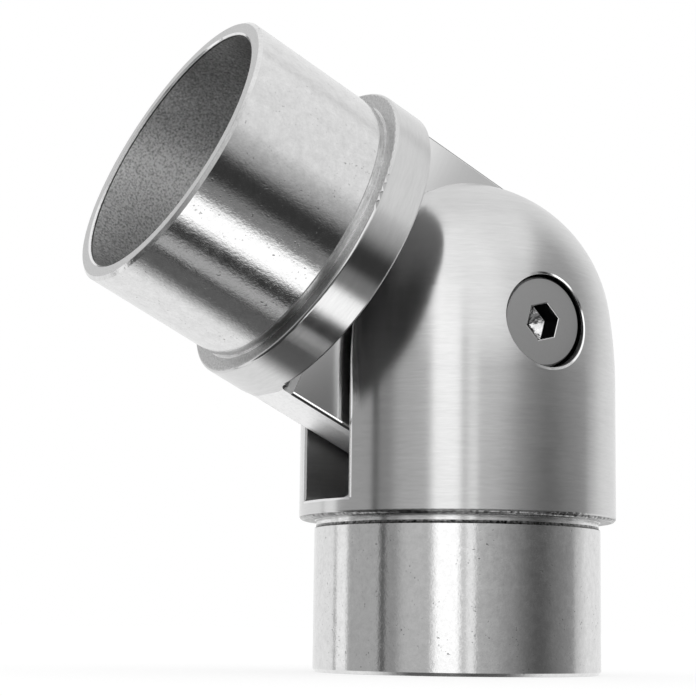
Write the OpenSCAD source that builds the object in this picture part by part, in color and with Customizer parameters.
// Hinged connector for round handrail tube.
// The fork half stands upright on its spigot, the tongue half folds about a
// pivot through the fork's two ears, and each spigot plugs into a tube.
// Millimetres, +Z up. The origin is the centre of the lower spigot's end face,
// the pivot runs along Y, and the tongue half leans towards -X.

/* [Tube] */
// Outside diameter of the tube, and of both bodies
body_d = 48.3; // [42:0.1:56]
// Wall of the tube that slides over a spigot
tube_wall = 2.0; // [1.5:0.1:3]
// Play between a spigot and the tube's bore, on the radius
spigot_play = 0.35; // [0.1:0.05:0.5]

/* [Spigots] */
// Length of a spigot from its shoulder to its end face
spigot_len = 22.8; // [18:0.2:40]
// Wall of a spigot
spigot_wall = 2.3; // [1.8:0.1:3.5]
// Depth of the hollow in the fork half, from its end face
fork_hollow = 21; // [14:0.5:21]
// Depth of the hollow in the tongue half, from its end face
tongue_hollow = 22; // [14:0.5:24]
// Cast radius round the bottom of a hollow
hollow_r = 1.5; // [0.5:0.1:3]
// Chamfer round a spigot's outer end edge
spigot_edge = 0.5; // [0.2:0.1:1]
// Chamfer round a spigot's inner end edge
mouth_edge = 0.3; // [0.1:0.1:0.6]
// Length of the turned relief beside a shoulder
neck_len = 1.0; // [0.5:0.1:2]
// Depth of that relief
neck_depth = 0.25; // [0.1:0.05:0.4]

/* [Fork half] */
// Rounding of the fork's lower edge
fork_edge_r = 0.7; // [0.3:0.1:1]
// Metal between the shoulder and the slot's floor
slot_floor = 2.5; // [2:0.1:6]
// Gap between the slot's floor and the tongue's round end
tip_gap = 1.65; // [0.8:0.05:5]
// Width of the slot between the ears
slot_w = 12.6; // [11:0.1:16]
// Radius in the slot's two bottom corners
slot_r = 0.8; // [0.3:0.1:1.5]
// How much smaller than the body the radius of the dome's crown is
crown_inset = 0.65; // [0.4:0.05:1.5]
// How much higher than the body's radius the dome rises above the pivot
crown_lift = 0.15; // [0:0.05:0.4]
// How far below the counterbores the wall starts to round over
dome_drop = 0.4; // [0.3:0.1:3]
// Chamfer of the ears' inner edges
ear_edge = 0.35; // [0.2:0.05:0.6]

/* [Tongue half] */
// Angle between the two halves' axes, 0 is straight
fold = 65; // [0:1:90]
// Thickness of the tongue
tongue_t = 10; // [8:0.1:10.4]
// Gap between the collar's back face and the fork's dome
collar_gap = 1.95; // [1.3:0.05:5]
// Length of the collar
collar_len = 6.6; // [4:0.1:12]
// Rounding of the collar's front edge
collar_edge_r = 0.5; // [0.2:0.1:1]
// Chamfer of the collar's back edge and of the tongue's edges
tongue_edge = 0.35; // [0.2:0.05:0.6]
// Fillet between the tongue's faces and the collar
root_r = 1.0; // [0.4:0.1:1.1]

/* [Pivot] */
// Outside diameter of the threaded sleeve
sleeve_d = 10; // [9.6:0.1:12]
// Running clearance of the tongue on the sleeve, on the radius
sleeve_run = 0.06; // [0.02:0.01:0.1]
// Clearance of the sleeve in the ears, on the radius
sleeve_play = 0.05; // [0.02:0.01:0.1]
// How far each end of the sleeve stays below its screw's seat
sleeve_short = 0.5; // [0.2:0.1:1.5]
// Thread diameter of the screws
thread_d = 8; // [6:1:8]
// Clearance of the thread in the sleeve and the washers, on the radius
thread_play = 0.05; // [0.02:0.01:0.1]
// Length of thread that a screw has in the sleeve
thread_grip = 9.5; // [6:0.5:11]
// Diameter of a screw's head
head_d = 13.2; // [12:0.1:14]
// Height of a screw's head
head_h = 5; // [4:0.1:6]
// Chamfer round the top of a head
head_edge = 0.3; // [0.1:0.1:0.5]
// Width across the flats of the hexagon socket
socket_af = 5; // [4:1:6]
// Depth of the socket
socket_depth = 3.4; // [2:0.1:3.5]
// How far a head's face lies below the body's surface
head_sink = 2; // [1:0.05:3]
// Clearance of a head in its counterbore, on the radius
head_play = 0.3; // [0.3:0.05:1.2]
// Turn of the front screw as tightened
front_turn = 14.5; // [0:0.5:60]
// Turn of the rear screw as tightened
rear_turn = 38; // [0:0.5:60]

/* [Washers] */
// Thickness of a spring washer
spring_t = 2; // [1.5:0.1:2.5]
// Outside diameter of a spring washer
spring_d = 12.7; // [11.5:0.1:13.5]
// Gap in a spring washer's ring
spring_gap = 1.2; // [0.6:0.1:2]
// Outside diameter of a friction washer
friction_d = 24; // [18:0.5:30]
// Play between the tongue and each friction washer
friction_play = 0.1; // [0.05:0.01:0.15]

/* [Hidden] */
$fn = 128;
over = 1;
steel = "#C4C6C8";
screw_steel = "#8E9092";
washer_steel = "#A9A59C";

body_r = body_d / 2;
spigot_r = body_r - tube_wall - spigot_play;
hollow_rad = spigot_r - spigot_wall;
pivot_z = spigot_len + slot_floor + tip_gap + body_r;
slot_floor_z = spigot_len + slot_floor;
slot_half = slot_w / 2;
tongue_half = tongue_t / 2;
friction_t = slot_half - tongue_half - friction_play;
sleeve_hole_d = sleeve_d + 2 * sleeve_play;
head_face = body_r - head_sink;
head_seat = head_face - head_h;
ear_seat = head_seat - spring_t;
sleeve_len = 2 * (ear_seat - sleeve_short);
sleeve_bore_d = thread_d + 2 * thread_play;
shank_len = spring_t + sleeve_short + thread_grip;
counterbore_d = head_d + 2 * head_play;
collar_back = body_r + collar_gap;
tongue_tip = collar_back + collar_len + spigot_len;
blade_r = sqrt(body_r * body_r - tongue_half * tongue_half);

// The dome over the ears is two arcs that meet without a corner: a crown
// centred on the axis and a flatter side arc that starts on the body's wall.
crown_r = body_r - crown_inset;
dome_top = pivot_z + body_r + crown_lift;
crown_z = dome_top - crown_r;
dome_z = pivot_z - counterbore_d / 2 - dome_drop;
side_r = (body_r * body_r + (crown_z - dome_z) * (crown_z - dome_z) - crown_r * crown_r)
    / (2 * (body_r - crown_r));
side_x = body_r - side_r;
side_turn = atan2(crown_z - dome_z, -side_x);
meet_z = crown_z + crown_r * sin(side_turn);

// The inner edge of an ear follows the wall, the side arc and the crown. There
// the side arc is taken as a circle through the two ends of its stretch.
ear_x = sqrt(body_r * body_r - slot_half * slot_half);
ear_crown_r = sqrt(crown_r * crown_r - slot_half * slot_half);
ear_meet_x = sqrt(ear_crown_r * ear_crown_r - (meet_z - crown_z) * (meet_z - crown_z));
ear_side_r = (pow(ear_x - ear_meet_x, 2) + pow(meet_z - dome_z, 2)) / (2 * (ear_x - ear_meet_x));
ear_side_turn = asin((meet_z - dome_z) / ear_side_r);

// Outline of a spigot and its shoulder, solid to the axis, from the end face
// at height 0 up past the shoulder, whose outer edge is rounded to edge_r.
module spigot_outline(edge_r) {
    relief_r = spigot_r - neck_depth;
    polygon([[0, 0], [spigot_r - spigot_edge, 0], [spigot_r, spigot_edge],
             [spigot_r, spigot_len - neck_len - neck_depth], [relief_r, spigot_len - neck_len],
             [relief_r, spigot_len], [body_r - edge_r, spigot_len],
             [body_r - edge_r, spigot_len + edge_r], [0, spigot_len + edge_r]]);
    translate([body_r - edge_r, spigot_len + edge_r])
        intersection() {
            circle(edge_r);
            translate([0, -edge_r])
                square(edge_r);
        }
}

// The hollow of a spigot, open at height 0, with a cast radius at its bottom.
module spigot_hollow(depth) {
    rotate_extrude()
        difference() {
            translate([0, -over])
                square([hollow_rad + mouth_edge + over, depth + over]);
            translate([hollow_rad, mouth_edge])
                square([mouth_edge + 2 * over, depth]);
            polygon([[hollow_rad, mouth_edge], [hollow_rad + mouth_edge + over, -over],
                     [hollow_rad + mouth_edge + 3 * over, -over], [hollow_rad + mouth_edge + 3 * over, depth]]);
            translate([hollow_rad - hollow_r, depth - hollow_r])
                difference() {
                    square(hollow_r + over);
                    circle(hollow_r);
                }
        }
}

// A cylinder along Y, centred on the pivot axis unless from and to say otherwise.
module pivot_cylinder(d, from, to) {
    translate([0, from, 0])
        rotate([-90, 0, 0])
            cylinder(d = d, h = to - from);
}

// The fork's outline: spigot, shoulder, wall and dome, turned about Z.
module fork_blank() {
    wall_z = spigot_len + fork_edge_r;
    rotate_extrude() {
        spigot_outline(fork_edge_r);
        translate([0, wall_z])
            square([body_r, dome_z - wall_z]);
        intersection() {
            translate([side_x, dome_z])
                circle(side_r);
            translate([0, dome_z])
                square([body_r, meet_z - dome_z]);
        }
        intersection() {
            translate([0, crown_z])
                circle(crown_r);
            translate([0, meet_z])
                square([body_r, body_r]);
        }
    }
}

// The slot between the ears, cut right through along X.
module fork_slot() {
    top = dome_top - slot_floor_z + over;
    translate([-body_r - over, 0, slot_floor_z])
        rotate([90, 0, 90])
            linear_extrude(body_d + 2 * over)
                union() {
                    translate([-slot_half, slot_r])
                        square([slot_w, top]);
                    translate([slot_r - slot_half, 0])
                        square([slot_w - 2 * slot_r, top]);
                    for (side = [-1, 1])
                        translate([side * (slot_half - slot_r), slot_r])
                            circle(slot_r);
                }
}

// Section of the cutter that takes off a sharp edge: a square on its corner.
module edge_section() {
    polygon([[-ear_edge, 0], [0, -ear_edge], [ear_edge, 0], [0, ear_edge]]);
}

// The same section swept round an axis along Y, from the X side up to an angle.
module edge_sweep(r, angle) {
    rotate([90, 0, 0])
        rotate_extrude(angle = angle)
            translate([r, -slot_half])
                edge_section();
}

// Chamfer cutters along the inner edge of one side of one ear: the wall, the
// side arc and the part of the crown above the height where the arcs meet.
module ear_edge_cut() {
    translate([ear_x, slot_half, slot_floor_z])
        linear_extrude(dome_z - slot_floor_z)
            edge_section();
    translate([ear_x - ear_side_r, 0, dome_z])
        edge_sweep(ear_side_r, ear_side_turn);
    intersection() {
        translate([0, 0, crown_z])
            edge_sweep(ear_crown_r, 360);
        translate([-ear_edge, 0, meet_z])
            cube([body_d, body_d, body_d]);
    }
}

module fork_body() {
    color(steel)
        difference() {
            fork_blank();
            spigot_hollow(fork_hollow);
            fork_slot();
            for (x = [0, 1], y = [0, 1])
                mirror([x, 0, 0])
                    mirror([0, y, 0])
                        ear_edge_cut();
            translate([0, 0, pivot_z]) {
                pivot_cylinder(sleeve_hole_d, -body_r, body_r);
                pivot_cylinder(counterbore_d, ear_seat, body_r + over);
                pivot_cylinder(counterbore_d, -body_r - over, -ear_seat);
            }
        }
}

// The tongue half stands upright here, with its pivot at the origin.
module tongue_solid() {
    difference() {
        union() {
            translate([0, 0, tongue_tip])
                mirror([0, 0, 1])
                    rotate_extrude() {
                        spigot_outline(collar_edge_r);
                        polygon([[0, spigot_len + collar_edge_r], [body_r, spigot_len + collar_edge_r],
                                 [body_r, spigot_len + collar_len - tongue_edge],
                                 [body_r - tongue_edge, spigot_len + collar_len],
                                 [0, spigot_len + collar_len]]);
                    }
            tongue_blade();
            tongue_roots();
        }
        translate([0, 0, tongue_tip])
            mirror([0, 0, 1])
                spigot_hollow(tongue_hollow);
        pivot_cylinder(sleeve_d + 2 * sleeve_run, -body_r, body_r);
        for (x = [0, 1], y = [0, 1])
            mirror([x, 0, 0])
                mirror([0, y, 0])
                    root_end_cut();
    }
}

// The flat blade: a round end about the pivot and straight sides that run
// flush into the collar, both clipped to the tube's round outside.
module tongue_blade() {
    side_edge = [[blade_r - tongue_edge, -tongue_half],
                 [blade_r + tongue_edge, 2 * tongue_edge - tongue_half],
                 [blade_r + tongue_edge, tongue_half - 2 * tongue_edge],
                 [blade_r - tongue_edge, tongue_half]];
    intersection() {
        union() {
            cylinder(r = body_r, h = collar_back + over);
            sphere(r = body_r);
        }
        union() {
            rotate([90, 0, 0])
                rotate_extrude()
                    polygon([[0, -tongue_half], each side_edge, [0, tongue_half]]);
            linear_extrude(collar_back + over)
                polygon([for (s = [-1, 1], p = side_edge) s * p]);
        }
    }
}

// Concave fillets where the blade's two faces meet the collar's back face.
module tongue_roots() {
    intersection() {
        cylinder(r = body_r, h = collar_back + over);
        for (side = [0, 1])
            mirror([0, side, 0])
                translate([-body_r, tongue_half, collar_back])
                    rotate([90, 0, 90])
                        linear_extrude(body_d)
                            difference() {
                                translate([-over, -root_r])
                                    square([root_r + over, root_r + over]);
                                translate([root_r, -root_r])
                                    circle(root_r);
                            }
    }
}

// Carries the chamfer of the blade's edge round one end of a fillet.
module root_end_cut() {
    length = body_r - blade_r + tongue_edge + over;
    translate([blade_r - tongue_edge, tongue_half + root_r, collar_back - root_r])
        rotate([0, 90, 0])
            cylinder(r1 = root_r, r2 = root_r + length, h = length);
}

module tongue_body() {
    color(steel)
        translate([0, 0, pivot_z])
            rotate([0, -fold, 0])
                tongue_solid();
}

module pivot_sleeve() {
    color(screw_steel)
        translate([0, 0, pivot_z])
            difference() {
                pivot_cylinder(sleeve_d, -sleeve_len / 2, sleeve_len / 2);
                pivot_cylinder(sleeve_bore_d, -body_r, body_r);
            }
}

// A low-headed socket screw along Y, its head's face turned towards -Y.
module pivot_screw(turn) {
    translate([0, 0, pivot_z])
        rotate([90, 0, 0])
            difference() {
                union() {
                    translate([0, 0, head_seat])
                        cylinder(d = head_d, h = head_h - head_edge);
                    translate([0, 0, head_face - head_edge])
                        cylinder(d1 = head_d, d2 = head_d - 2 * head_edge, h = head_edge);
                    translate([0, 0, head_seat - shank_len])
                        cylinder(d = thread_d, h = shank_len + over);
                }
                translate([0, 0, head_face - socket_depth])
                    rotate([0, 0, turn])
                        cylinder(d = socket_af / cos(30), h = socket_depth + over, $fn = 6);
            }
}

module front_pivot_screw() {
    color(screw_steel)
        pivot_screw(front_turn);
}

module rear_pivot_screw() {
    color(screw_steel)
        mirror([0, 1, 0])
            pivot_screw(rear_turn);
}

// A split ring under a screw's head, in the front counterbore.
module spring_washer() {
    translate([0, 0, pivot_z])
        rotate([90, 0, 0])
            translate([0, 0, ear_seat])
                difference() {
                    cylinder(d = spring_d, h = spring_t);
                    translate([0, 0, -over])
                        cylinder(d = sleeve_bore_d, h = spring_t + 2 * over);
                    translate([0, -spring_gap / 2, -over])
                        cube([spring_d, spring_gap, spring_t + 2 * over]);
                }
}

module front_spring_washer() {
    color(washer_steel)
        spring_washer();
}

module rear_spring_washer() {
    color(washer_steel)
        mirror([0, 1, 0])
            spring_washer();
}

// A flat ring against the front ear's inner face.
module friction_washer() {
    translate([0, 0, pivot_z])
        difference() {
            pivot_cylinder(friction_d, -slot_half, friction_t - slot_half);
            pivot_cylinder(sleeve_hole_d, -body_r, body_r);
        }
}

module front_friction_washer() {
    color(washer_steel)
        friction_washer();
}

module rear_friction_washer() {
    color(washer_steel)
        mirror([0, 1, 0])
            friction_washer();
}

fork_body();
tongue_body();
pivot_sleeve();
front_pivot_screw();
rear_pivot_screw();
front_spring_washer();
rear_spring_washer();
front_friction_washer();
rear_friction_washer();
